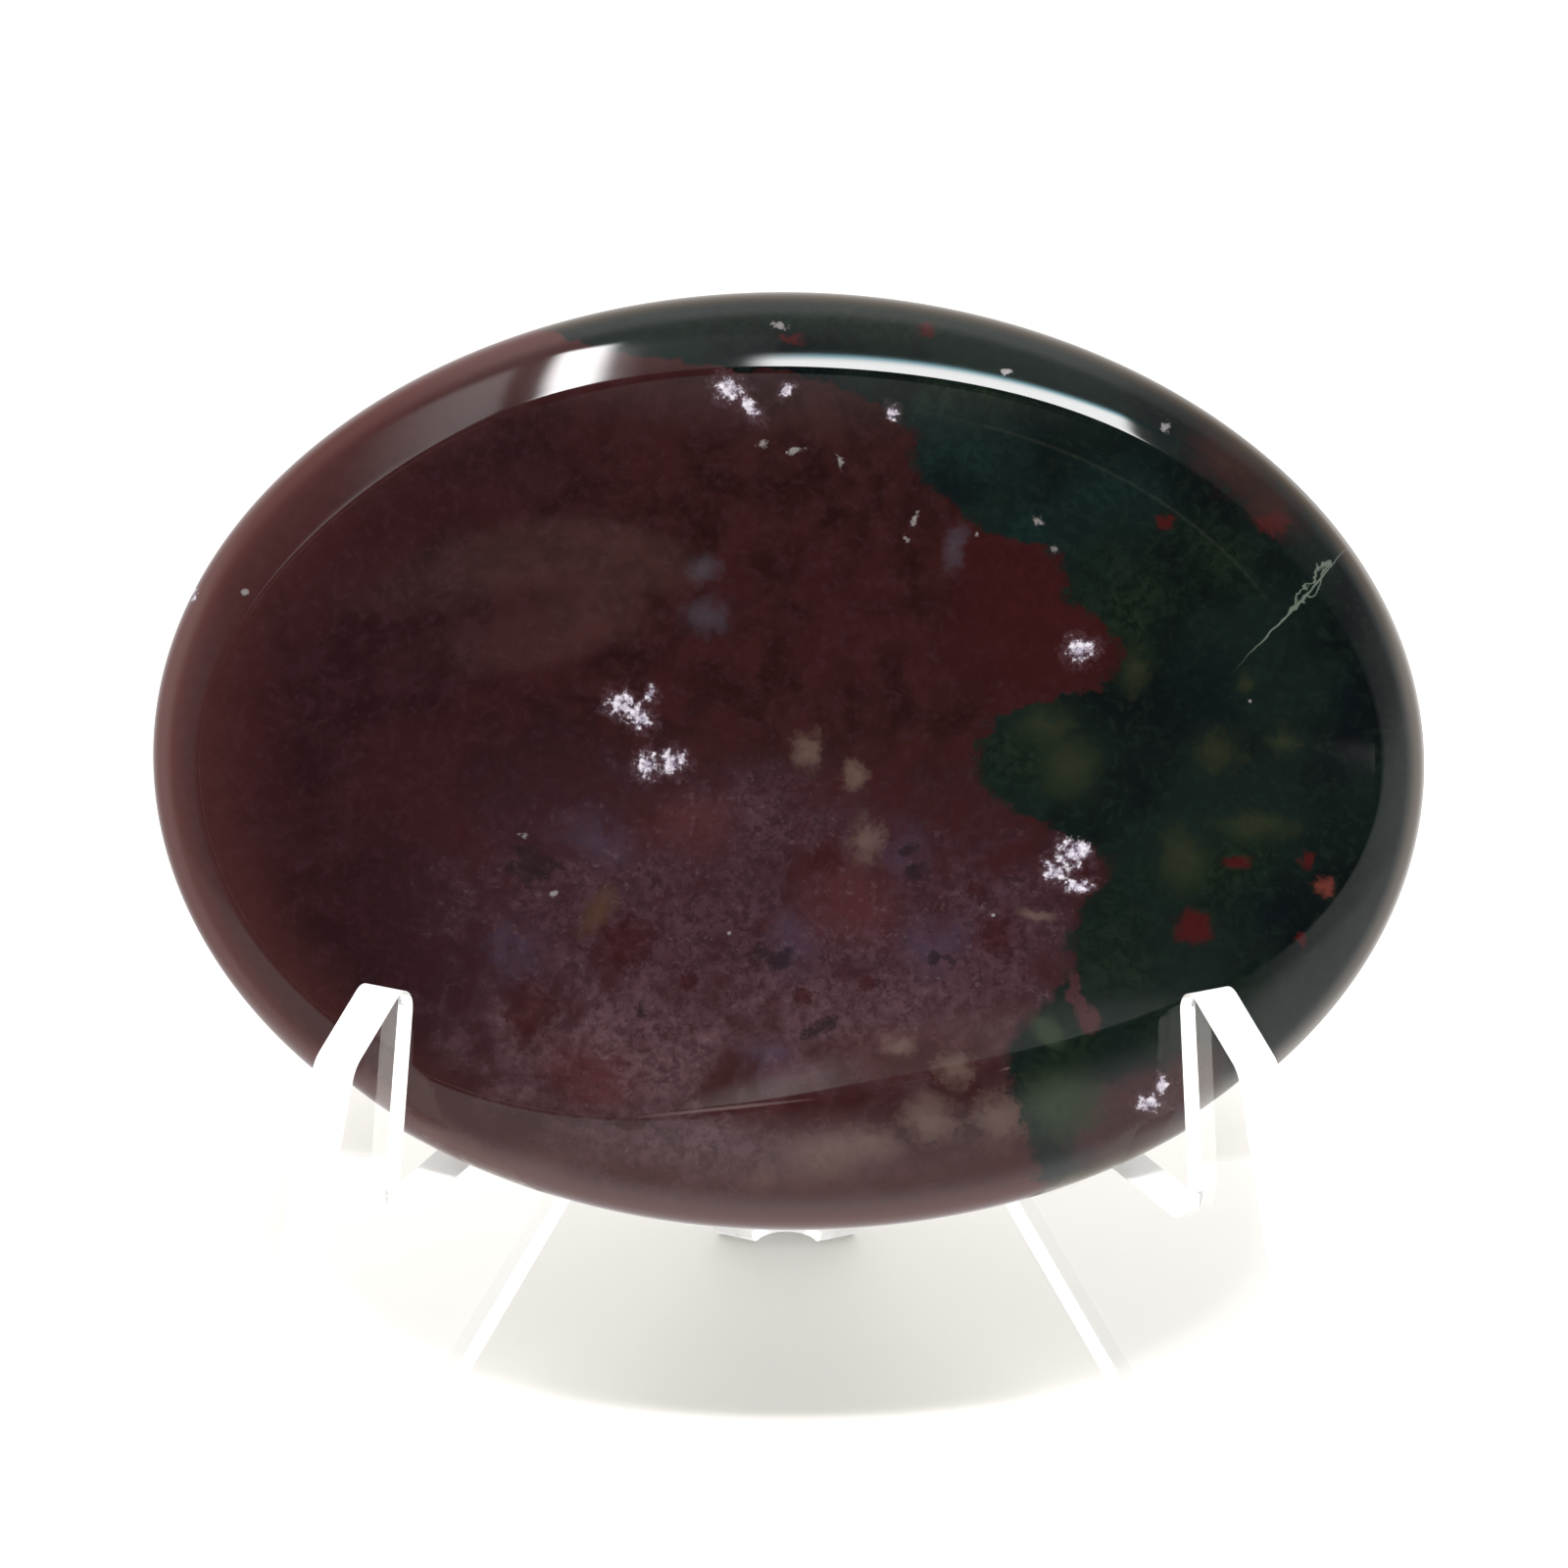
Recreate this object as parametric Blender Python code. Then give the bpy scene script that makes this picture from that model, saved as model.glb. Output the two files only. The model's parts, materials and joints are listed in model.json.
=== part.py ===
"""A polished agate worry stone leaning in a clear one-piece easel.

Metres, +Z up. The stone's dished face looks towards -Y. The origin is on the
ground, under the middle of the whole object.
"""
import math

import bmesh
import bpy
from mathutils import Vector

# The stone: an oval pebble, modelled lying flat with its dish up, then leaned back.
STONE_LENGTH = 0.0450
STONE_HEIGHT = 0.0332
FRONT_RISE = 0.0037         # front dome above the girdle, before the dish is ground in
FRONT_RISE_SLANT = 0.0003   # more than that at the top edge, and less at the bottom edge
BACK_RISE = 0.0034
FRONT_FULLNESS = 2.5        # exponent of the front dome's section: 2 is an ellipse
BACK_FULLNESS = 3.5
STONE_LEAN = math.radians(22)
STONE_MIDDLE = (0.0, -0.0005, 0.0275)

# The thumb dish: a shallow bowl ground in by hand, so its ridge isn't a true oval. The ridge's
# reach, as a share of the way out to the girdle, has waves of 1, 2, 3 and 4 turns round the stone.
DISH_FLOOR = 0.0008         # height of its lowest point above the girdle
RIDGE_REACH = 0.849
RIDGE_WAVES = ((-0.018, 0.043), (0.072, 0.033), (0.021, -0.014), (0.000, -0.010))

# The easel: one sheet, cut to a symmetric outline and folded upright into a V.
SHEET = 0.0016
WING_ANGLE = math.radians(25)       # each wing from the front-to-back direction
FOLD_RADIUS = 0.0020                # of the sheet's middle, at the fold
FOLD_Y = 0.0221                     # where the two wings' middle planes would meet
FOLD_STEPS = 16
HALF_BEND = math.pi / 2 - WING_ANGLE
EDGE_ROUNDING = 0.0002
EDGE_ANGLE = math.radians(50)       # only the cut edges are this sharp
SMOOTH_ANGLE = math.radians(30)

# The outline of one wing seen from the side, as depth Y and height Z.
FOLD_TOP = 0.0320
BACK_FOOT_Y = 0.0178
ARCH_TOP = (0.0131, 0.0130)
FRONT_FOOT_HEEL_Y = -0.0155
FRONT_FOOT_TOE_Y = -0.0196
FRONT_KNEE = (-0.0158, 0.0108)
HOOK_SHOULDER = (-0.0119, 0.0208)
HOOK_TIP = (-0.0078, 0.0228)
HOOK_ROOT_Y = -0.0092
NOTCH_FLOOR = 0.0135
SUPPORT_TOP = 0.0365
SEAT_GAP = 0.0003                   # between the stone and what it leans on

# Roundings of the outline's corners.
FOOT_ROUND = 0.0006
ARCH_ROUND = 0.0040
KNEE_ROUND = 0.0300
SHOULDER_ROUND = 0.0012
TIP_ROUND = 0.0008
NOTCH_ROUND = 0.0012
SUPPORT_TOP_ROUND = 0.0030
FOLD_TOP_ROUND = 0.0040
CORNER_STEPS = 6

# Fineness of the stone's surface, in steps.
AROUND = 72
DISH_RINGS = 8
FRONT_RINGS = 7
BACK_RINGS = 10


def clear_scene():
    for thing in list(bpy.data.objects):
        bpy.data.objects.remove(thing)


def plain_material(name, colour, roughness, metallic=0.0, transmission=0.0, refraction=1.5):
    material = bpy.data.materials.new(name)
    material.use_nodes = True
    shader = material.node_tree.nodes["Principled BSDF"]
    shader.inputs["Base Color"].default_value = (*colour, 1.0)
    shader.inputs["Roughness"].default_value = roughness
    shader.inputs["Metallic"].default_value = metallic
    shader.inputs["Transmission Weight"].default_value = transmission
    shader.inputs["IOR"].default_value = refraction
    return material


def add_object(name, mesh, material):
    thing = bpy.data.objects.new(name, mesh)
    mesh.materials.append(material)
    bpy.context.scene.collection.objects.link(thing)
    return thing


def dome(reach, rise, fullness):
    """Height over the girdle at a share of the way out, 0 in the middle and 1 at the girdle."""
    return rise * max(0.0, 1.0 - reach ** fullness) ** (1.0 / fullness)


def front_rise(angle):
    return FRONT_RISE + FRONT_RISE_SLANT * math.sin(angle)


def ridge_reach(angle):
    """How far out the dish meets the front dome, in one direction."""
    waves = [along * math.cos(turns * angle) + across * math.sin(turns * angle)
             for turns, (along, across) in enumerate(RIDGE_WAVES, 1)]
    return RIDGE_REACH + sum(waves)


def dish(angle, reach):
    """Height of the thumb dish over the girdle: a parabola from its floor up to its ridge."""
    ridge = ridge_reach(angle)
    crest = dome(ridge, front_rise(angle), FRONT_FULLNESS)
    return DISH_FLOOR + (crest - DISH_FLOOR) * (reach / ridge) ** 2


def on_oval(angle, reach):
    return (reach * STONE_LENGTH / 2 * math.cos(angle), reach * STONE_HEIGHT / 2 * math.sin(angle))


def dome_ring(turn, rise, fullness):
    """Reach and height on a dome's section: turn 0 is its middle, a quarter turn its girdle."""
    return (math.sin(turn) ** (2 / fullness), rise * max(0.0, math.cos(turn)) ** (2 / fullness))


def stone_rings():
    """Rings of points from the dish's middle over the ridge and the girdle to the back."""
    angles = [math.tau * step / AROUND for step in range(AROUND)]
    ridges = [ridge_reach(angle) for angle in angles]
    rings = []
    for step in range(1, DISH_RINGS + 1):
        ring = []
        for angle, ridge in zip(angles, ridges):
            reach = ridge * step / DISH_RINGS
            ring.append((*on_oval(angle, reach), dish(angle, reach)))
        rings.append(ring)
    for step in range(1, FRONT_RINGS + 1):
        ring = []
        for angle, ridge in zip(angles, ridges):
            start = math.asin(ridge ** (FRONT_FULLNESS / 2))
            turn = start + (math.pi / 2 - start) * step / FRONT_RINGS
            reach, height = dome_ring(turn, front_rise(angle), FRONT_FULLNESS)
            ring.append((*on_oval(angle, reach), height))
        rings.append(ring)
    for step in range(1, BACK_RINGS):
        turn = math.pi / 2 * (1 - step / BACK_RINGS)
        reach, height = dome_ring(turn, BACK_RISE, BACK_FULLNESS)
        rings.append([(*on_oval(angle, reach), -height) for angle in angles])
    return rings


def stone_mesh():
    """The pebble as one closed skin, lying flat with its dish up."""
    shape = bmesh.new()
    front = shape.verts.new((0.0, 0.0, DISH_FLOOR))
    rings = [[shape.verts.new(point) for point in ring] for ring in stone_rings()]
    back = shape.verts.new((0.0, 0.0, -BACK_RISE))
    for here in range(AROUND):
        after = (here + 1) % AROUND
        shape.faces.new((front, rings[0][here], rings[0][after]))
        for inside, outside in zip(rings, rings[1:]):
            shape.faces.new((inside[here], outside[here], outside[after], inside[after]))
        shape.faces.new((rings[-1][here], back, rings[-1][after]))
    bmesh.ops.recalc_face_normals(shape, faces=shape.faces)
    mesh = bpy.data.meshes.new("worry_stone")
    shape.to_mesh(mesh)
    shape.free()
    mesh.shade_smooth()
    return mesh


def make_stone():
    stone = add_object("worry_stone", stone_mesh(),
                       plain_material("polished agate", (0.030, 0.012, 0.011), 0.12))
    stone.location = STONE_MIDDLE
    stone.rotation_euler = (math.pi / 2 - STONE_LEAN, 0.0, 0.0)
    return stone


def support_y(height):
    """Depth, at mid-sheet, of the edge that the stone's back leans on. Its inner arris is nearer."""
    behind = (BACK_RISE + SEAT_GAP) / math.cos(STONE_LEAN) + SHEET / 2 * math.sin(WING_ANGLE)
    return STONE_MIDDLE[1] + behind + (height - STONE_MIDDLE[2]) * math.tan(STONE_LEAN)


def along_sheet(y):
    """Distance along the sheet from the middle of the fold to a depth on a wing."""
    from_corner = (FOLD_Y - y) / math.cos(WING_ANGLE)
    return from_corner - FOLD_RADIUS * (math.tan(HALF_BEND) - HALF_BEND)


def rounded(corners):
    """The outline through corners given as (x, y, radius), each rounded by a short arc."""
    outline = []
    for index, (x, y, radius) in enumerate(corners):
        corner = Vector((x, y))
        to_before = (Vector(corners[index - 1][:2]) - corner).normalized()
        to_after = (Vector(corners[(index + 1) % len(corners)][:2]) - corner).normalized()
        half_opening = to_before.angle(to_after) / 2
        middle = (to_before + to_after).normalized() * radius / math.sin(half_opening)
        reach = radius / math.tan(half_opening)
        first = to_before * reach - middle
        last = to_after * reach - middle
        for step in range(CORNER_STEPS + 1):
            outline.append(corner + middle + radius * first.slerp(last, step / CORNER_STEPS))
    return outline


def sheet_outline():
    """The cut sheet laid flat, as distance along it and height: one wing, then its mirror image."""
    corners = [
        (BACK_FOOT_Y, 0.0, FOOT_ROUND),
        (*ARCH_TOP, ARCH_ROUND),
        (FRONT_FOOT_HEEL_Y, 0.0, FOOT_ROUND),
        (FRONT_FOOT_TOE_Y, 0.0, FOOT_ROUND),
        (*FRONT_KNEE, KNEE_ROUND),
        (*HOOK_SHOULDER, SHOULDER_ROUND),
        (*HOOK_TIP, TIP_ROUND),
        (HOOK_ROOT_Y, NOTCH_FLOOR, NOTCH_ROUND),
        (support_y(NOTCH_FLOOR), NOTCH_FLOOR, NOTCH_ROUND),
        (support_y(SUPPORT_TOP), SUPPORT_TOP, SUPPORT_TOP_ROUND),
    ]
    wing = [(along_sheet(y), height, radius) for y, height, radius in corners]
    other_wing = [(-along, height, radius) for along, height, radius in reversed(wing)]
    return rounded(wing + [(0.0, FOLD_TOP, FOLD_TOP_ROUND)] + other_wing)


def folded(along, off_middle, height):
    """Where a point of the flat sheet goes when the sheet is folded upright into its V."""
    side = math.copysign(1.0, along)
    turn = min(abs(along) / FOLD_RADIUS, HALF_BEND)
    straight = abs(along) - FOLD_RADIUS * turn
    fold_axis_y = FOLD_Y - FOLD_RADIUS / math.sin(WING_ANGLE)
    radius = FOLD_RADIUS + off_middle
    x = side * (radius * math.sin(turn) + straight * math.sin(WING_ANGLE))
    y = fold_axis_y + radius * math.cos(turn) - straight * math.cos(WING_ANGLE)
    return Vector((x, y, height))


def stand_mesh():
    """The easel: the outline cut across its bend, given its thickness and folded."""
    shape = bmesh.new()
    shape.faces.new([shape.verts.new((point.x, 0.0, point.y)) for point in sheet_outline()])
    bend_length = FOLD_RADIUS * HALF_BEND
    for step in range(FOLD_STEPS + 1):
        along = bend_length * (2 * step / FOLD_STEPS - 1)
        bmesh.ops.bisect_plane(shape, geom=shape.verts[:] + shape.edges[:] + shape.faces[:],
                               plane_co=(along, 0.0, 0.0), plane_no=(1.0, 0.0, 0.0), dist=1e-7)
    front_faces = shape.faces[:]
    front_points = set(shape.verts)
    bmesh.ops.extrude_face_region(shape, geom=front_faces, use_keep_orig=True)
    for point in shape.verts:
        off_middle = -SHEET / 2 if point in front_points else SHEET / 2
        point.co = folded(point.co.x, off_middle, point.co.z)
    bmesh.ops.recalc_face_normals(shape, faces=shape.faces)
    mesh = bpy.data.meshes.new("display_stand")
    shape.to_mesh(mesh)
    shape.free()
    mesh.shade_smooth()
    mesh.set_sharp_from_angle(angle=SMOOTH_ANGLE)
    return mesh


def make_stand():
    stand = add_object("display_stand", stand_mesh(),
                       plain_material("clear acrylic", (0.97, 0.98, 0.98), 0.05,
                                      transmission=1.0, refraction=1.49))
    rounding = stand.modifiers.new("Rounded cut edges", "BEVEL")
    rounding.width = EDGE_ROUNDING
    rounding.segments = 2
    rounding.limit_method = "ANGLE"
    rounding.angle_limit = EDGE_ANGLE
    return stand


clear_scene()
make_stone()
make_stand()
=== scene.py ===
import json
import math

import bmesh
import bpy
from mathutils import Matrix, Vector, noise

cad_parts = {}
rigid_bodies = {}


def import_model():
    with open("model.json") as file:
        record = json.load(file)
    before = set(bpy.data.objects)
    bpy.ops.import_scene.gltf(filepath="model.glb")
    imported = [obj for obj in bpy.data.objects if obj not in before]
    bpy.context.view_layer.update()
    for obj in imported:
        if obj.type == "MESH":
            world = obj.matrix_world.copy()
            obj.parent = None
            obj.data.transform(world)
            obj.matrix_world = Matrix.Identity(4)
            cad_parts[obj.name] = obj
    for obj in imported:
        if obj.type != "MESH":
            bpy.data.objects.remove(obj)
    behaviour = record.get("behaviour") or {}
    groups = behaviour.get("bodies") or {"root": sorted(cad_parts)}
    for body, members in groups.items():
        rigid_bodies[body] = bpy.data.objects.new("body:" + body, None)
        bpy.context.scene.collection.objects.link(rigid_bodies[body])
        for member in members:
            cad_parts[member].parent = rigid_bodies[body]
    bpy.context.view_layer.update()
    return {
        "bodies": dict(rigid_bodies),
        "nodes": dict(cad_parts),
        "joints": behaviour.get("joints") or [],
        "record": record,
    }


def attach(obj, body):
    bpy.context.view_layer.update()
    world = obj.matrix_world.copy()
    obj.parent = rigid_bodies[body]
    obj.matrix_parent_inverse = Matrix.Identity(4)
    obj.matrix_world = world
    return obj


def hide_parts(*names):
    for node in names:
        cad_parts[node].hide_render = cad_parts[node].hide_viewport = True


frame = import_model()

# The stone, in metres: the same driving sizes as its solid, with the ridge softened by polishing.
STONE_LENGTH = 0.0450
STONE_HEIGHT = 0.0332
FRONT_RISE = 0.0037
FRONT_RISE_SLANT = 0.0003
BACK_RISE = 0.0034
FRONT_FULLNESS = 2.5
BACK_FULLNESS = 3.5
STONE_LEAN = math.radians(22)
STONE_MIDDLE = Vector((0.0, -0.0005, 0.0275))
STONE_TURN = math.radians(-0.8)
DISH_FLOOR = 0.0008
RIDGE_REACH = 0.850
RIDGE_WAVES = (
    (-0.0185, 0.0422), (0.0723, 0.0334), (0.0215, -0.0134), (-0.0014, -0.0086), (-0.0019, -0.0021),
    (0.0032, -0.0021))
RIDGE_SOFTENING = 0.00008
WAVINESS = 0.00003
WAVES_PER_METRE = 90.0
AROUND = 288
DISH_RINGS = 34
CREST_RINGS = 12
CREST_SHARE = 0.018         # how far the crest's close rings go to each side of the ridge
USUAL_RIM = 0.16            # share of the way out that is left outside an average ridge
OUTWARDS = (0.3, 0.5, 4.0)  # how the skin faces near a place, by its place on each axis
FRONT_RINGS = 22
BACK_RINGS = 34

# The easel, in metres: one sheet folded upright into a V.
SHEET = 0.0016
WING_ANGLE = math.radians(25)
FOLD_RADIUS = 0.0020
FOLD_Y = 0.0221
FOLD_STEPS = 48
HALF_BEND = math.pi / 2 - WING_ANGLE
EDGE_ROUNDING = 0.00022
EDGE_ANGLE = math.radians(50)
FOLD_TOP = 0.0320
BACK_FOOT_Y = 0.0178
ARCH_TOP = (0.0131, 0.0130)
FRONT_FOOT_HEEL_Y = -0.0155
FRONT_FOOT_TOE_Y = -0.0196
FRONT_KNEE = (-0.0158, 0.0108)
HOOK_SHOULDER = (-0.0119, 0.0208)
HOOK_TIP = (-0.0078, 0.0228)
HOOK_ROOT_Y = -0.0092
NOTCH_FLOOR = 0.0135
SUPPORT_TOP = 0.0365
SEAT_GAP = 0.0003
FOOT_ROUND = 0.0006
ARCH_ROUND = 0.0040
KNEE_ROUND = 0.0300
SHOULDER_ROUND = 0.0012
TIP_ROUND = 0.0008
NOTCH_ROUND = 0.0012
SUPPORT_TOP_ROUND = 0.0030
FOLD_TOP_ROUND = 0.0040
CORNER_STEPS = 14
HOOKS_LEAN = 0.0003                 # to the right, reached gradually over the next height and depth
LEAN_FROM = 0.004
LEAN_HEIGHT = 0.014
LEAN_DEPTH = 0.006

# Where the red ends and the green begins across the face, as height and place along, in millimetres.
# REACH is how far its curve goes each way.
REACH = 24.0
GREEN_EDGE = (
    (-17.0, 9.2), (-14.1, 9.0), (-12.8, 8.5), (-11.1, 7.9), (-9.8, 8.0), (-8.4, 9.0), (-7.1, 10.1),
    (-6.1, 10.0), (-5.1, 10.3), (-4.2, 11.1), (-3.2, 11.1), (-2.3, 9.8), (-1.7, 8.3), (-1.0, 7.2),
    (0.0, 6.6), (1.4, 7.1), (2.0, 8.0), (2.4, 9.7), (2.9, 11.0), (4.1, 11.5), (5.2, 10.8), (5.9, 9.7),
    (6.8, 9.5), (7.7, 9.0), (8.0, 7.4), (8.7, 6.1), (9.5, 5.1), (10.4, 4.2), (11.5, 4.2), (12.2, 3.3),
    (12.9, 2.2), (13.5, 0.6), (13.9, -4.0), (14.7, -8.0), (17.0, -12.0))

# Patches on the face, in millimetres: place along and up, width, height and turn in degrees. PATCH_DEPTH
# is how high over the girdle their middles are, and how far they go above and below that.
PATCH_DEPTH = (2.0, 3.5)

# Patches in the red part.
LILAC = (
    (-4.6, -5.6, 13.0, 9.0, 0), (1.5, -6.6, 13.0, 9.5, 0), (6.4, -6.4, 8.0, 7.5, 0),
    (-5.5, -10.0, 11.0, 6.5, 0), (-3.0, -14.0, 16.0, 4.0, 0), (-0.5, -2.2, 9.0, 4.0, 0))
VIOLET = (
    (0.3, -6.5, 2.6, 3.6, 0), (5.6, -6.2, 3.4, 2.0, 0), (-9.9, -7.3, 2.6, 2.6, 0), (4.4, -2.9, 2.6, 2.0, 0),
    (-0.4, -10.9, 3.0, 1.6, 0), (-6.8, -2.6, 3.0, 2.4, 0), (-14.6, 2.2, 6.0, 5.0, 0))
ROSE = (
    (-4.0, -2.2, 6.0, 3.0, 0), (2.4, -4.8, 4.4, 3.6, 0), (4.8, -10.0, 7.0, 2.6, 15),
    (-7.0, -11.2, 4.0, 3.0, 0), (1.2, -12.2, 8.0, 2.4, 0))
LOBES = (
    (9.0, 5.6, 7.0, 7.5, 0), (7.0, 7.6, 4.0, 3.0, 0))
PALE = (
    (1.6, -14.0, 2.4, 1.5, 15), (5.2, -12.5, 1.5, 1.3, 0), (7.6, -12.5, 1.4, 1.5, 0),
    (-0.6, -14.7, 0.8, 0.7, 0), (6.0, -10.7, 1.1, 0.9, 0), (4.0, -9.9, 0.8, 0.5, 0),
    (2.8, -2.8, 0.9, 1.2, 0), (2.3, -0.5, 0.7, 0.8, 0), (0.6, 0.4, 0.8, 0.9, 0), (-8.6, -14.4, 1.8, 0.8, 0),
    (8.8, -5.3, 0.9, 0.3, 0), (3.0, -13.4, 1.6, 1.0, 0))
DARK_RED = (
    (-2.4, -11.7, 1.5, 1.4, 0), (-5.7, -6.5, 1.9, 1.7, 0), (-3.4, -7.8, 0.7, 0.6, 0),
    (0.6, -8.3, 0.6, 0.6, 0), (7.4, -6.0, 1.3, 1.4, 0), (1.4, -3.4, 1.2, 1.0, 0), (-9.0, -9.0, 1.7, 2.0, 0),
    (-5.4, -12.9, 1.1, 0.4, 0), (-5.0, -14.6, 2.2, 0.9, 0), (2.8, -7.8, 0.5, 0.6, 0),
    (6.6, -4.4, 0.8, 0.6, 0))
DARK_OLIVE = (
    (-0.4, -6.9, 1.4, 0.8, -15), (1.3, -9.4, 1.2, 0.7, 30), (4.5, -3.8, 1.3, 0.4, 0),
    (4.3, -3.0, 0.6, 0.6, 0), (5.4, -6.9, 0.8, 0.4, 0), (-5.0, -8.8, 0.5, 0.6, 0), (-9.1, -3.8, 1.6, 1.4, 0))
OCHRE = ((-6.6, -5.4, 0.9, 1.7, -30),)
BLUE_HAZE = (
    (-3.0, 5.1, 1.5, 1.2, 0), (-3.1, 6.7, 1.0, 0.8, 0), (5.7, 7.6, 0.7, 1.5, -15))
RED_QUARTZ = (
    (-5.9, 1.9, 1.3, 1.0, 0), (-5.3, 1.5, 1.3, 0.9, -45), (-4.9, 2.3, 0.5, 0.7, 0),
    (-5.0, -0.2, 0.9, 1.1, 0), (-4.1, -0.1, 1.2, 1.0, 0), (10.2, 4.1, 1.1, 1.0, 0),
    (10.1, -3.0, 1.7, 1.2, 45), (9.4, -3.7, 1.0, 0.9, 0), (10.3, -4.2, 1.2, 0.6, 0),
    (-2.3, 13.0, 1.2, 1.0, 0), (-1.6, 12.4, 1.1, 0.6, -45), (-0.3, 13.0, 0.7, 0.45, 45),
    (-21.1, 5.5, 0.35, 0.8, 0))
RED_FLECKS = (
    (-1.1, 11.1, 0.6, 0.4, 0), (0.0, 10.9, 0.9, 0.4, 15), (1.6, 10.6, 0.3, 0.8, 15),
    (4.3, 8.6, 0.3, 0.8, -15), (4.0, 7.9, 0.3, 0.5, 0), (6.5, 8.1, 0.3, 0.3, 0),
    (-19.2, 5.6, 0.5, 0.3, -15), (-9.3, -2.8, 0.5, 0.4, 0), (-8.2, -4.8, 0.4, 0.5, 0),
    (-2.0, -6.1, 0.2, 0.2, 0), (7.3, -5.3, 0.2, 0.2, 0))
# Thin lighter lines along the ridge low on the face: painted highlights of its crest.
PAINTED_RIDGE_HIGHLIGHTS = (
    (-2.0, -12.2, 6.0, 0.13, 7), (8.7, -10.4, 2.4, 0.12, 15))

# Layers over the red part: patches, darker and lighter tone, the distances at which the patch is gone and
# full, how much its edge breaks up, and its strength.
RED_LAYERS = (
    (PALE, (88, 66, 60), (132, 112, 102), 2.0, 0.1, 3.0, 0.6),
    (DARK_RED, (44, 20, 21), (62, 28, 28), 1.5, 0.5, 1.6, 0.7),
    (DARK_OLIVE, (36, 28, 30), None, 1.4, 0.4, 2.2, 0.75),
    (OCHRE, (62, 42, 34), (88, 64, 44), 1.6, 0.3, 1.8, 0.75),
    (BLUE_HAZE, (48, 44, 56), (92, 90, 98), 1.7, 0.0, 2.2, 0.55))

# Patches in the green part.
TEAL = (
    (6.4, 10.6, 6.5, 4.5, 0), (8.2, 8.4, 5.5, 4.0, 0), (4.9, 12.2, 4.0, 2.6, 0), (10.8, 9.6, 6.0, 4.5, 0))
MOSS = (
    (11.8, 5.4, 4.6, 5.6, 0), (9.0, 0.2, 5.2, 4.4, 0), (11.9, -6.4, 4.4, 4.6, 0),
    (15.2, -3.6, 5.0, 3.0, 20), (15.0, -8.6, 7.0, 3.0, 20), (6.4, 13.0, 7.0, 2.2, 0),
    (2.0, 15.6, 16.0, 1.6, 0), (10.0, -10.0, 4.0, 6.0, 0), (14.6, 7.6, 5.0, 3.0, -30))
OLIVE = (
    (9.1, 1.4, 1.4, 1.0, 0), (9.9, 0.0, 1.4, 1.6, 0), (12.1, 3.4, 0.8, 1.1, 0), (16.0, 3.0, 0.5, 0.6, 0),
    (15.1, 0.6, 1.3, 1.1, 0), (17.4, 1.0, 0.8, 0.7, 0), (13.9, -3.2, 1.2, 1.6, 0), (16.4, -2.0, 2.2, 0.7, 0))
NAVY = (
    (14.4, 2.6, 5.0, 4.0, 0), (5.8, 9.6, 2.2, 1.8, 0), (17.0, -5.2, 3.6, 2.4, 0), (19.6, 1.6, 2.4, 5.0, 0))
MAROON_BELOW = (
    (12.4, -12.4, 4.6, 3.0, 30), (14.9, -10.9, 3.4, 2.4, 30), (12.6, -14.1, 3.0, 1.2, 30),
    (10.3, -8.1, 0.6, 1.6, 20), (10.7, -8.9, 0.7, 0.8, 0))
PALE_GREEN = (
    (9.8, -11.9, 2.7, 2.3, 0), (9.2, -9.3, 1.5, 0.7, -30))
RED_SPOTS = (
    (4.6, 15.3, 0.7, 0.6, 0), (14.4, -5.6, 1.35, 1.2, 0), (15.8, -3.3, 1.0, 0.6, 0),
    (18.3, -3.2, 0.6, 0.5, 0), (13.1, 8.7, 0.6, 0.4, 0), (18.1, -5.9, 0.6, 0.4, 0),
    (-0.2, 14.8, 0.8, 0.3, 0), (16.9, 8.7, 1.1, 0.8, 0))
ORANGE_SPOTS = ((18.9, -4.1, 0.75, 0.8, 0),)
BRICK_RIM = (
    (15.4, 10.7, 3.2, 1.7, -40), (16.8, 9.3, 2.6, 1.3, -40))
GREEN_QUARTZ = (
    (3.4, 12.3, 0.5, 0.7, 0), (12.9, -11.8, 0.9, 0.7, 0), (13.3, -11.1, 0.5, 0.8, 0))
GREEN_FLECKS = (
    (8.6, 8.6, 0.6, 0.5, 0), (9.2, 7.6, 0.35, 0.35, 0), (13.0, 12.0, 0.5, 0.7, 0),
    (-0.6, 15.3, 0.8, 0.4, 0), (7.4, 13.8, 0.8, 0.3, 0), (16.2, 2.4, 0.2, 0.2, 0))
CRACK = ((17.8, 5.9, 5.6, 0.08, 48.5),)
CRACK_EYE = ((18.2, 6.5, 2.0, 0.34, 52),)

# A faint oval line, a painted reflection of a light arc in the polish, in millimetres, seen only at the upper
# right.
REFLECTED_ARC_MIDDLE = (1.2, -0.3, 0.0)
REFLECTED_ARC_STRETCH = (1 / 17.8, 1 / 12.8, 0.0)

# Layers over the green part, in the same order of values.
GREEN_LAYERS = (
    (OLIVE, (26, 34, 26), (66, 68, 44), 2.1, 0.0, 4.0, 0.6),
    (MAROON_BELOW, (56, 34, 36), (76, 48, 50), 1.35, 0.7, 0.7, 1.0),
    (PALE_GREEN, (36, 46, 35), (62, 72, 54), 1.6, 0.3, 2.0, 0.85),
    (RED_SPOTS, (52, 19, 20), (80, 27, 27), 1.4, 0.5, 1.0, 0.9),
    (ORANGE_SPOTS, (104, 52, 44), None, 1.35, 0.5, 1.0, 0.85),
    (BRICK_RIM, (40, 28, 27), (76, 40, 36), 1.6, 0.3, 2.0, 0.6))

# The clear sheet: its cut edges are frosted where they face up or forwards by this much or more.
ACRYLIC_IOR = 1.49
CUT_FACING = (0.25, 0.6)
CUT_ROUGHNESS = 0.25
FROSTED_SHARE = 0.65
FROSTED_WHITE = (0.9, 0.9, 0.9, 1.0)

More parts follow.
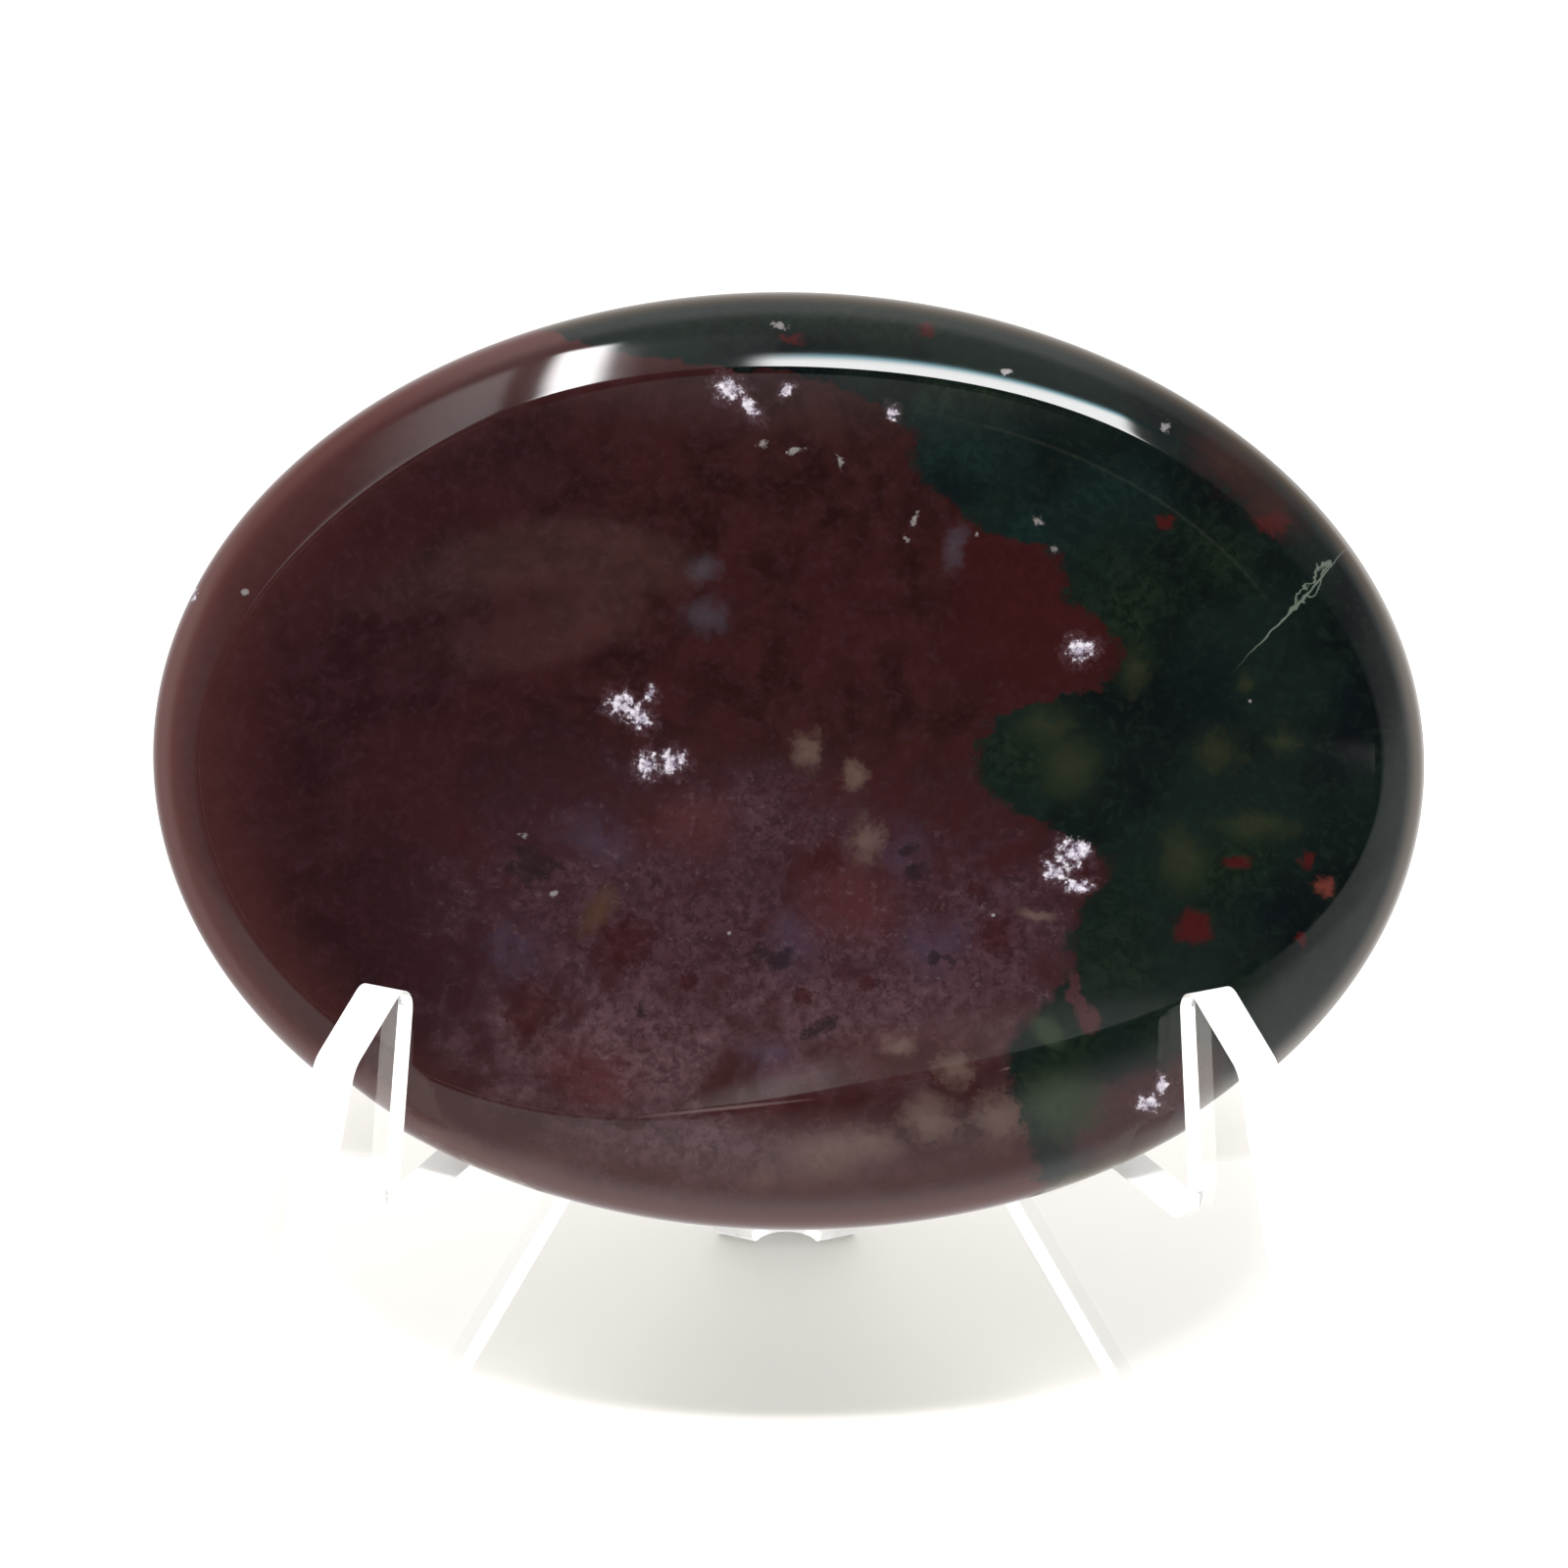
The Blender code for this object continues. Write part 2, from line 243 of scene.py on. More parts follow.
# The paper that the stand is on.
FLOOR_HALF_WIDTH = 1.5
PAPER_TONES = ((0.785, 0.765, 0.722, 1.0), (0.80, 0.78, 0.737, 1.0))

# How brightly the face is lit, and how much of the room it mirrors on top of its own colour.
FACE_LIGHT = 1.98
FACE_GLOSS = 0.002
AGATE_IOR = 1.54
QUARTZ_RELIEF = 0.00004

# The room that the polish mirrors: light at each angle from the camera's side, in degrees.
ROOM_BRIGHTEST = 2.5
ROOM = (
    (0, 0.04), (25, 0.05), (32, 0.12), (45, 0.2), (60, 0.38), (71, 0.45), (80, 0.85), (88, 1.05),
    (100, 0.95), (112, 0.85), (130, 1.0), (150, 1.15), (180, 1.2))
ALL_ROUND = 1.45
WHITE = (1.0, 1.0, 1.0, 1.0)

# The panes overhead that the polish mirrors. A way's place on them is how far it goes right, and back, for
# each unit that it goes up. Each edge goes from where the pane is dark to where it is fully lit.
OVERHEAD = (0.3, 0.4)
STRIP = {"left": (-0.052, -0.012), "right": (0.478, 0.452), "back": (-0.400, -0.485), "front": (-0.74, -0.70),
         "slant": 0.2, "light": 18.0}
SQUARE = {"left": (-0.310, -0.275), "right": (-0.200, -0.235), "back": (-0.240, -0.290),
          "front": (-0.66, -0.62), "slant": 0.75, "light": 24.0}
HAZE = {"right": (-0.350, -0.372), "left": (-0.82, -0.38), "left_fade": 1.8, "back": (0.0, -0.14),
        "light": 1.7}
BETWEEN = {"left": (-0.235, -0.215), "right": (-0.005, -0.025), "front": (-0.80, -0.74),
           "back": (-0.12, -0.26), "by_square": (-0.160, -0.205), "light": 0.22, "light_by_square": 1.3}
FRINGE = (0.45, 0.85, 1.0, 1.0)

# The dim warm patch in the dish: two joined ovals in the room in front, as middle and half widths.
PATCH_OVALS = (((0.062, -0.98, 0.140), (0.042, 0.042)), ((0.068, -0.98, 0.205), (0.014, 0.035)))
PATCH_WARMTH = (1.0, 0.6, 0.5, 1.0)
PATCH_LIGHT = 0.42

# The key light: a wide, low panel over the viewer's head, in degrees, metres and watts.
KEY_RISE = math.radians(51)
KEY_DISTANCE = 1.0
KEY_SIZE = (0.26, 0.05)
KEY_POWER = 9.0

# The camera: as far from the stone as the photograph's, and square to its face.
VIEW_SIDE = math.radians(0.0)
VIEW_RISE = math.radians(22)
VIEW_ROLL = math.radians(0.2)
VIEW_DISTANCE = 0.260
FRAME_WIDTH_AT_STONE = 0.0555
SENSOR_MM = 36.0
LIGHT_BOUNCES = 40
AIM_LEFT = 0.00016
AIM_DOWN = 0.00080


class Wire:
    """A socket of a shader, with arithmetic: an expression on wires adds its Math nodes."""

    def __init__(self, shader, socket):
        self.shader = shader
        self.socket = socket

    def joined(self, operation, first, second):
        kinds = {item.socket.type for item in (first, second) if isinstance(item, Wire)}
        if not kinds & {"VECTOR", "RGBA"}:
            return self.shader.node("ShaderNodeMath", {"operation": operation}, {0: first, 1: second})
        pair = [item if isinstance(item, (Wire, tuple)) else (item, item, item) for item in (first, second)]
        return self.shader.node("ShaderNodeVectorMath", {"operation": operation}, dict(enumerate(pair)))

    def __add__(self, other):
        return self.joined("ADD", self, other)

    def __radd__(self, other):
        return self.joined("ADD", other, self)

    def __sub__(self, other):
        return self.joined("SUBTRACT", self, other)

    def __rsub__(self, other):
        return self.joined("SUBTRACT", other, self)

    def __mul__(self, other):
        return self.joined("MULTIPLY", self, other)

    def __rmul__(self, other):
        return self.joined("MULTIPLY", other, self)

    def __truediv__(self, other):
        return self.joined("DIVIDE", self, other)

    def __pow__(self, other):
        return self.joined("POWER", self, other)

    def least(self, other):
        return self.joined("MINIMUM", self, other)

    def most(self, other):
        return self.joined("MAXIMUM", self, other)

    def length(self):
        return self.shader.node("ShaderNodeVectorMath", {"operation": "LENGTH"}, {0: self}, "Value")


class Shader:
    """The node tree of a material or the world, built by expressions."""

    def __init__(self, owner):
        owner.use_nodes = True
        self.tree = owner.node_tree
        self.tree.nodes.clear()

    def node(self, kind, settings=None, inputs=None, output=0):
        made = self.tree.nodes.new(kind)
        for name, value in (settings or {}).items():
            if name == "curve":
                self.set_curve(made.mapping, value)
            else:
                setattr(made, name, value)
        for name, value in (inputs or {}).items():
            if isinstance(value, Wire):
                self.tree.links.new(value.socket, made.inputs[name])
            else:
                made.inputs[name].default_value = value
        return Wire(self, made.outputs[output]) if len(made.outputs) else None

    def set_curve(self, mapping, points):
        line = mapping.curves[0]
        while len(line.points) < len(points):
            line.points.new(0.5, 0.5)
        for point, place in zip(line.points, points):
            point.location = place
        mapping.update()

    def mix(self, share, first, second):
        """A colour between two colours."""
        return self.node("ShaderNodeMix", {"data_type": "RGBA"}, {0: share, 6: first, 7: second}, 2)

    def ease(self, value, low, high):
        """0 at low and 1 at high, with soft ends."""
        return self.node("ShaderNodeMapRange", {"interpolation_type": "SMOOTHSTEP"},
                         {"Value": value, "From Min": low, "From Max": high})

    def cloud(self, place, per_mm, detail=3.0, roughness=0.55, output="Fac"):
        return self.node("ShaderNodeTexNoise", {}, {"Vector": place, "Scale": per_mm, "Detail": detail,
                                                    "Roughness": roughness}, output)

    def stirred(self, place, per_mm, amount, detail=2.0):
        """Places moved about by a cloud, so that what is drawn there gets a natural edge."""
        return place + (self.cloud(place, per_mm, detail, 0.6, "Color") - 0.5) * amount

    def turned(self, place, degrees):
        """Places in a frame that is turned about the face's own axis."""
        along, across = math.cos(math.radians(degrees)), math.sin(math.radians(degrees))
        rows = ((along, across, 0.0), (-across, along, 0.0), (0.0, 0.0, 1.0))
        parts = [self.node("ShaderNodeVectorMath", {"operation": "DOT_PRODUCT"}, {0: place, 1: row}, "Value")
                 for row in rows]
        return self.node("ShaderNodeCombineXYZ", {}, dict(enumerate(parts)))

    def nearest(self, place, patches):
        """Distance to the nearest of some patches, where 1 is a patch's edge."""
        near = None
        for turn in sorted({patch[4] for patch in patches}):
            frame = self.turned(place, turn) if turn else place
            along, across = math.cos(math.radians(turn)), math.sin(math.radians(turn))
            for x, y, width, height in (patch[:4] for patch in patches if patch[4] == turn):
                middle = (x * along + y * across, y * along - x * across, PATCH_DEPTH[0])
                stretch = (2 / width, 2 / height, 1 / PATCH_DEPTH[1])
                shift = tuple(-step * size for step, size in zip(middle, stretch))
                away = self.node("ShaderNodeVectorMath", {"operation": "MULTIPLY_ADD"},
                                 {0: frame, 1: stretch, 2: shift}).length()
                near = near.least(away) if near else away
        return near


def tone(red, green, blue):
    """The stone's own colour where its lit face shows this 0 to 255 tone."""
    def own(value):
        share = value / 255
        linear = share / 12.92 if share <= 0.04045 else ((share + 0.055) / 1.055) ** 2.4
        return max(linear - FACE_GLOSS, 0.0005) / FACE_LIGHT
    return (own(red), own(green), own(blue), 1.0)


def soft_min(first, second, width):
    overlap = max(width - abs(first - second), 0.0) / width
    return min(first, second) - overlap * overlap * width / 4


def dome(reach, rise, fullness):
    return rise * max(0.0, 1.0 - reach ** fullness) ** (1.0 / fullness)


def front_rise(angle):
    return FRONT_RISE + FRONT_RISE_SLANT * math.sin(angle)


def ridge_reach(angle):
    waves = [along * math.cos(turns * angle) + across * math.sin(turns * angle)
             for turns, (along, across) in enumerate(RIDGE_WAVES, 1)]
    return RIDGE_REACH + sum(waves)


def dish(angle, reach):
    ridge = ridge_reach(angle)
    crest = dome(ridge, front_rise(angle), FRONT_FULLNESS)
    return DISH_FLOOR + (crest - DISH_FLOOR) * (reach / ridge) ** 2


def on_oval(angle, reach):
    return (reach * STONE_LENGTH / 2 * math.cos(angle), reach * STONE_HEIGHT / 2 * math.sin(angle))


def front_point(angle, reach):
    height = soft_min(dome(reach, front_rise(angle), FRONT_FULLNESS), dish(angle, reach), RIDGE_SOFTENING)
    return (*on_oval(angle, reach), height)


def front_rings(angle):
    """Reaches along one direction, from the dish's middle out to just inside the girdle."""
    ridge = ridge_reach(angle)
    inside, outside = ridge - CREST_SHARE, ridge + CREST_SHARE * (1 - ridge) / USUAL_RIM
    reaches = [inside * step / DISH_RINGS for step in range(1, DISH_RINGS + 1)]
    reaches += [inside + (outside - inside) * step / CREST_RINGS for step in range(1, CREST_RINGS)]
    start = math.asin(outside ** (FRONT_FULLNESS / 2))
    for step in range(FRONT_RINGS):
        turn = start + (math.pi / 2 - start) * step / FRONT_RINGS
        reaches.append(math.sin(turn) ** (2 / FRONT_FULLNESS))
    return reaches


def waved(point):
    """A hand-polished surface isn't a perfect curve."""
    place = Vector(point)
    out = (place * Vector(OUTWARDS)).normalized()
    return place + out * WAVINESS * noise.noise(place * WAVES_PER_METRE)


def stone_mesh():
    shape = bmesh.new()
    angles = [math.tau * step / AROUND for step in range(AROUND)]
    columns = []
    for angle in angles:
        column = [front_point(angle, reach) for reach in front_rings(angle)]
        column.append((*on_oval(angle, 1.0), 0.0))
        for step in range(1, BACK_RINGS):
            turn = math.pi / 2 * (1 - step / BACK_RINGS)
            reach = math.sin(turn) ** (2 / BACK_FULLNESS)
            column.append((*on_oval(angle, reach), -dome(reach, BACK_RISE, BACK_FULLNESS)))
        columns.append([shape.verts.new(waved(point)) for point in column])
    front = shape.verts.new(waved((0.0, 0.0, DISH_FLOOR)))
    back = shape.verts.new(waved((0.0, 0.0, -BACK_RISE)))
    for here, after in zip(columns, columns[1:] + columns[:1]):
        shape.faces.new((front, here[0], after[0]))
        for ring in range(len(here) - 1):
            shape.faces.new((here[ring], here[ring + 1], after[ring + 1], after[ring]))
        shape.faces.new((here[-1], back, after[-1]))
    bmesh.ops.recalc_face_normals(shape, faces=shape.faces)
    mesh = bpy.data.meshes.new("agate_stone")
    shape.to_mesh(mesh)
    shape.free()
    mesh.shade_smooth()
    return mesh


def support_y(height):
    behind = (BACK_RISE + SEAT_GAP) / math.cos(STONE_LEAN) + SHEET / 2 * math.sin(WING_ANGLE)
    return STONE_MIDDLE.y + behind + (height - STONE_MIDDLE.z) * math.tan(STONE_LEAN)


def along_sheet(y):
    from_corner = (FOLD_Y - y) / math.cos(WING_ANGLE)
    return from_corner - FOLD_RADIUS * (math.tan(HALF_BEND) - HALF_BEND)


def rounded(corners):
    """The outline through corners given as (x, y, radius), each rounded by a short arc."""
    outline = []
    for index, (x, y, radius) in enumerate(corners):
        corner = Vector((x, y))
        to_before = (Vector(corners[index - 1][:2]) - corner).normalized()
        to_after = (Vector(corners[(index + 1) % len(corners)][:2]) - corner).normalized()
        half_opening = to_before.angle(to_after) / 2
        middle = (to_before + to_after).normalized() * radius / math.sin(half_opening)
        reach = radius / math.tan(half_opening)
        first = to_before * reach - middle
        last = to_after * reach - middle
        for step in range(CORNER_STEPS + 1):
            outline.append(corner + middle + radius * first.slerp(last, step / CORNER_STEPS))
    return outline


def sheet_outline():
    corners = [
        (BACK_FOOT_Y, 0.0, FOOT_ROUND),
        (*ARCH_TOP, ARCH_ROUND),
        (FRONT_FOOT_HEEL_Y, 0.0, FOOT_ROUND),
        (FRONT_FOOT_TOE_Y, 0.0, FOOT_ROUND),
        (*FRONT_KNEE, KNEE_ROUND),
        (*HOOK_SHOULDER, SHOULDER_ROUND),
        (*HOOK_TIP, TIP_ROUND),
        (HOOK_ROOT_Y, NOTCH_FLOOR, NOTCH_ROUND),
        (support_y(NOTCH_FLOOR), NOTCH_FLOOR, NOTCH_ROUND),
        (support_y(SUPPORT_TOP), SUPPORT_TOP, SUPPORT_TOP_ROUND),
    ]
    wing = [(along_sheet(y), height, radius) for y, height, radius in corners]
    other_wing = [(-along, height, radius) for along, height, radius in reversed(wing)]
    return rounded(wing + [(0.0, FOLD_TOP, FOLD_TOP_ROUND)] + other_wing)


def folded(along, off_middle, height):
    side = math.copysign(1.0, along)
    turn = min(abs(along) / FOLD_RADIUS, HALF_BEND)
    straight = abs(along) - FOLD_RADIUS * turn
    fold_axis_y = FOLD_Y - FOLD_RADIUS / math.sin(WING_ANGLE)
    radius = FOLD_RADIUS + off_middle
    x = side * (radius * math.sin(turn) + straight * math.sin(WING_ANGLE))
    y = fold_axis_y + radius * math.cos(turn) - straight * math.cos(WING_ANGLE)
    high = min(max((height - LEAN_FROM) / LEAN_HEIGHT, 0.0), 1.0)
    forward = min(max(-y / LEAN_DEPTH, 0.0), 1.0)
    return Vector((x + HOOKS_LEAN * high * forward, y, height))


def stand_mesh():
    shape = bmesh.new()
    shape.faces.new([shape.verts.new((point.x, 0.0, point.y)) for point in sheet_outline()])
    bend_length = FOLD_RADIUS * HALF_BEND
    for step in range(FOLD_STEPS + 1):
        along = bend_length * (2 * step / FOLD_STEPS - 1)
        bmesh.ops.bisect_plane(shape, geom=shape.verts[:] + shape.edges[:] + shape.faces[:],
                               plane_co=(along, 0.0, 0.0), plane_no=(1.0, 0.0, 0.0), dist=1e-7)
    inner_points = set(shape.verts)
    bmesh.ops.extrude_face_region(shape, geom=shape.faces[:], use_keep_orig=True)
    for point in shape.verts:
        off_middle = -SHEET / 2 if point in inner_points else SHEET / 2
        point.co = folded(point.co.x, off_middle, point.co.z)
    bmesh.ops.recalc_face_normals(shape, faces=shape.faces)
    mesh = bpy.data.meshes.new("clear_easel")
    shape.to_mesh(mesh)
    shape.free()
    mesh.shade_smooth()
    return mesh


def add_piece(name, mesh, material):
    piece = bpy.data.objects.new(name, mesh)
    mesh.materials.append(material)
    bpy.context.scene.collection.objects.link(piece)
    return piece


def agate():
    """Dark red jasper running into moss-green agate, with quartz specks and one healed crack."""
    material = bpy.data.materials.new("Polished agate")
    shader = Shader(material)
    mix, ease, nearest = shader.mix, shader.ease, shader.nearest
    place = shader.node("ShaderNodeTexCoord", output="Object") * 1000.0
    swirled = shader.stirred(place, 0.22, 3.2)
    ragged = shader.stirred(place, 1.5, 1.0, 3.0)
    broad = shader.cloud(swirled, 0.20, 2.0)
    middling = shader.cloud(swirled, 0.75, 4.0, 0.6)
    fine = shader.cloud(ragged, 2.6, 4.0, 0.65)
    grain = shader.cloud(place, 9.0, 2.0, 0.6)
    crystal = shader.cloud(place, 3.4, 5.0, 0.72)
    parts = shader.node("ShaderNodeSeparateXYZ", {}, {0: ragged})
    across, up = (Wire(shader, parts.socket.node.outputs[axis]) for axis in "XY")
    reach = (place * (2 / (STONE_LENGTH * 1000), 2 / (STONE_HEIGHT * 1000), 0.0)).length()

    def lay(under, patches, over, gone, full, stir, break_up, strength):
        """Patches of another colour, with edges broken up by the fine cloud."""
        return mix(ease(nearest(stir, patches) + (fine - 0.5) * break_up, gone, full) * strength, under, over)

    def layered(under, layers):
        for patches, dark, light, gone, full, break_up, strength in layers:
            over = mix(fine, tone(*dark), tone(*light)) if light else tone(*dark)
            under = lay(under, patches, over, gone, full, ragged, break_up, strength)
        return under

    def polished(colour, quartz_places, fleck_places, cracked=None):
        """Quartz and flecks laid into a colour, and the polish over all of it."""
        veins = crystal - nearest(place, quartz_places) * 0.30
        quartz = ease(veins, 0.24, 0.40)
        colour = mix(ease(veins, 0.0, 0.30) * 0.3, colour, tone(104, 82, 92))
        colour = mix(quartz, colour, mix(ease(crystal, 0.4, 0.7), tone(150, 138, 160), tone(246, 240, 248)))
        flecks = ease(crystal - nearest(place, fleck_places) * 0.30, 0.27, 0.42)
        colour = mix(flecks * 0.85, colour, tone(138, 132, 132))
        broken = quartz.most(flecks)
        if cracked:
            colour = mix(cracked, colour, tone(118, 128, 116))
            broken = broken.most(cracked)
        bumps = shader.node("ShaderNodeBump", {}, {
            "Strength": broken * 0.5, "Distance": QUARTZ_RELIEF, "Height": crystal}, "Normal")
        return shader.node("ShaderNodeBsdfPrincipled", {}, {
            "Base Color": colour, "Roughness": 0.05 + grain * 0.02 + broken * 0.16, "IOR": AGATE_IOR,
            "Normal": bumps})

    purple = mix(ease(middling, 0.32, 0.68), tone(38, 21, 23), tone(49, 28, 31))
    brown_red = mix(ease(middling, 0.32, 0.68), tone(37, 19, 19), tone(54, 28, 28))
    red = mix(ease(across + broad * 9.0 - 4.5, -13.0, -3.0), purple, brown_red)
    red = mix(ease(broad, 0.46, 0.62) * 0.5, red, tone(56, 27, 29))
    red = mix(ease(fine, 0.46, 0.72) * 0.5, red, tone(60, 37, 43))
    lobes = ease(nearest(place, LOBES) + (fine - 0.5) * 0.9 + (middling - 0.5) * 1.0, 1.3, 0.5)
    red = mix(lobes * 0.8, red, mix(fine, tone(46, 20, 20), tone(62, 26, 27)))

    upper = mix(ease(fine, 0.34, 0.66), tone(52, 34, 39), tone(74, 51, 58))
    lower = mix(ease(fine, 0.34, 0.66), tone(66, 45, 48), tone(92, 68, 72))
    lilac = mix(ease(up + (middling - 0.5) * 5.0, -6.0, -11.0), upper, lower)
    lilac = mix(ease(middling, 0.5, 0.75) * 0.55, lilac, tone(58, 31, 33))
    lilac = mix(ease(nearest(swirled, VIOLET) + fine * 1.4, 1.95, 0.75) * 0.6, lilac, tone(72, 58, 76))
    lilac = mix(ease(nearest(swirled, ROSE) + fine * 1.2, 1.8, 0.8) * 0.8, lilac, tone(76, 41, 42))
    lilac_share = ease(nearest(place, LILAC) + (middling - 0.5) * 2.4 + (fine - 0.5) * 1.2, 1.6, 0.2)
    pepper = ease(shader.cloud(place, 3.6, 3.0, 0.65), 0.56, 0.70) * lilac_share
    red = mix(lilac_share, red, lilac)
    red = mix(pepper * 0.4, red, tone(48, 29, 32))
    red = mix(ease(crystal, 0.54, 0.74) * lilac_share * 0.4, red, tone(118, 96, 102))
    red = layered(red, RED_LAYERS)
    # Painted highlights along the crest of the low ridge.
    red = lay(red, PAINTED_RIDGE_HIGHLIGHTS, tone(112, 92, 92), 1.3, 0.4, place, 0.6, 0.7)
    # Lighter over the outer shoulder, and at the girdle a painted reflection: the light rim seen at a grazing
    # angle.
    red = mix(ease(reach, 0.80, 0.93) * 0.7, red, mix(fine, tone(64, 35, 34), tone(80, 45, 44)))
    red = mix(ease(reach, 0.93, 1.0), red, tone(98, 50, 44))

    green = mix(ease(broad, 0.36, 0.62), tone(15, 19, 20), tone(22, 31, 28))
    green = mix(ease(fine, 0.46, 0.72) * 0.55, green, tone(30, 41, 35))
    green = mix(ease(nearest(swirled, TEAL) + fine * 1.2 + (middling - 0.5) * 1.2, 1.8, 0.6) * 0.85, green,
                mix(ease(fine, 0.35, 0.7), tone(19, 32, 31), tone(28, 44, 42)))
    green = mix(ease(nearest(swirled, MOSS) + fine * 1.3 + (middling - 0.5) * 1.6, 1.9, 0.6), green,
                mix(ease(fine, 0.35, 0.7), tone(18, 27, 22), tone(32, 43, 32)))
    green = mix(ease(nearest(swirled, NAVY) + fine * 0.8, 1.5, 0.6) * 0.6, green, tone(15, 19, 24))
    green = layered(green, GREEN_LAYERS)
    # A painted reflection at the girdle: the light rim seen at a grazing angle.
    green = mix(ease(reach, 0.965, 1.0) * 0.8, green, tone(98, 78, 58))
    # A painted reflection: a faint light arc, only at the upper right of the green part.
    line = ((place - REFLECTED_ARC_MIDDLE) * REFLECTED_ARC_STRETCH).length()
    line = ease(line, 0.992, 0.999) * ease(line, 1.006, 1.001) * ease(across, 4.0, 8.0) * ease(up, 5.0, 8.0)
    green = mix(line * fine * 0.4, green, tone(62, 64, 56))
    crack = ease(nearest(shader.stirred(place, 1.2, 0.25), CRACK), 1.3, 0.5)
    eye = nearest(ragged, CRACK_EYE)
    crack = crack.most(ease(eye, 1.25, 1.0) * ease(eye, 0.6, 0.9)) * 0.7

    curve = [((y + REACH) / (2 * REACH), (x + REACH) / (2 * REACH)) for y, x in GREEN_EDGE]
    edge = shader.node("ShaderNodeFloatCurve", {"curve": curve}, {"Value": (up + REACH) / (2 * REACH)})
    edge = edge * (2 * REACH) - REACH
    green_share = ease(across - edge + (fine - 0.5) * 1.6, -0.3, 0.3)
    surface = shader.node("ShaderNodeMixShader", {}, {
        0: green_share, 1: polished(red, RED_QUARTZ, RED_FLECKS),
        2: polished(green, GREEN_QUARTZ, GREEN_FLECKS, crack)})
    shader.node("ShaderNodeOutputMaterial", {}, {"Surface": surface})
    return material


def clear_acrylic():
    """Clear sheet, whose cut edges are slightly frosted where they face up or forwards."""
    material = bpy.data.materials.new("Clear acrylic")
    shader = Shader(material)
    where = shader.node("ShaderNodeTexCoord", output="Object")
    inside = shader.node("ShaderNodeNewGeometry", output="Backfacing")
    facing = Wire(shader, where.socket.node.outputs["Normal"]) * (1 - inside * 2)
    parts = [shader.node("ShaderNodeSeparateXYZ", {}, {0: wire}).socket.node.outputs
             for wire in (where, facing)]
    side = shader.node("ShaderNodeMath", {"operation": "SIGN"}, {0: Wire(shader, parts[0]["X"])})
    x, y, z = (Wire(shader, parts[1][axis]) for axis in "XYZ")
    along_wing = x * side * math.sin(WING_ANGLE) - y * math.cos(WING_ANGLE)
    cut = shader.ease(z, *CUT_FACING).most(shader.ease(along_wing, *CUT_FACING))
    haze = shader.cloud(where * 1000.0, 0.8, 3.0) * 0.03
    clear = shader.node("ShaderNodeBsdfPrincipled", {}, {
        "Base Color": WHITE, "Roughness": haze + cut * CUT_ROUGHNESS, "IOR": ACRYLIC_IOR,
        "Transmission Weight": 1.0})
    frosted = shader.node("ShaderNodeBsdfPrincipled", {}, {
        "Base Color": FROSTED_WHITE, "Roughness": 0.5, "IOR": ACRYLIC_IOR})
    surface = shader.node("ShaderNodeMixShader", {}, {0: cut * FROSTED_SHARE, 1: clear, 2: frosted})
    shader.node("ShaderNodeOutputMaterial", {}, {"Surface": surface})
    return material


def make_stone():
    stone = add_piece("agate_stone", stone_mesh(), agate())
    leaned = Matrix.Rotation(math.pi / 2 - STONE_LEAN, 4, "X") @ Matrix.Rotation(STONE_TURN, 4, "Z")
    stone.matrix_world = Matrix.Translation(STONE_MIDDLE) @ leaned
    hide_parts("worry_stone")
    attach(stone, "root")


def make_stand():
    stand = add_piece("clear_easel", stand_mesh(), clear_acrylic())
    rounding = stand.modifiers.new("Rounded cut edges", "BEVEL")
    rounding.width = EDGE_ROUNDING
    rounding.segments = 4
    rounding.limit_method = "ANGLE"
    rounding.angle_limit = EDGE_ANGLE
    stand.modifiers.new("Flat sides", "WEIGHTED_NORMAL")
    stand.visible_shadow = False
    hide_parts("display_stand")
    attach(stand, "root")


def make_floor():
    shape = bmesh.new()
    bmesh.ops.create_grid(shape, x_segments=1, y_segments=1, size=FLOOR_HALF_WIDTH)
    mesh = bpy.data.meshes.new("floor")
    shape.to_mesh(mesh)
    shape.free()
    material = bpy.data.materials.new("White paper")
    shader = Shader(material)
    place = shader.node("ShaderNodeTexCoord", output="Object") * 1000.0
    paper = shader.mix(shader.cloud(place, 0.05), *PAPER_TONES)
    surface = shader.node("ShaderNodeBsdfDiffuse", {}, {"Color": paper})
    shader.node("ShaderNodeOutputMaterial", {}, {"Surface": surface})
    floor = add_piece("floor", mesh, material)
    floor.visible_glossy = False


def towards(azimuth, rise):
    """Unit vector to a direction seen from the stone: azimuth 0 is the viewer, positive is right."""
    return Vector((math.sin(azimuth) * math.cos(rise), -math.cos(azimuth) * math.cos(rise), math.sin(rise)))


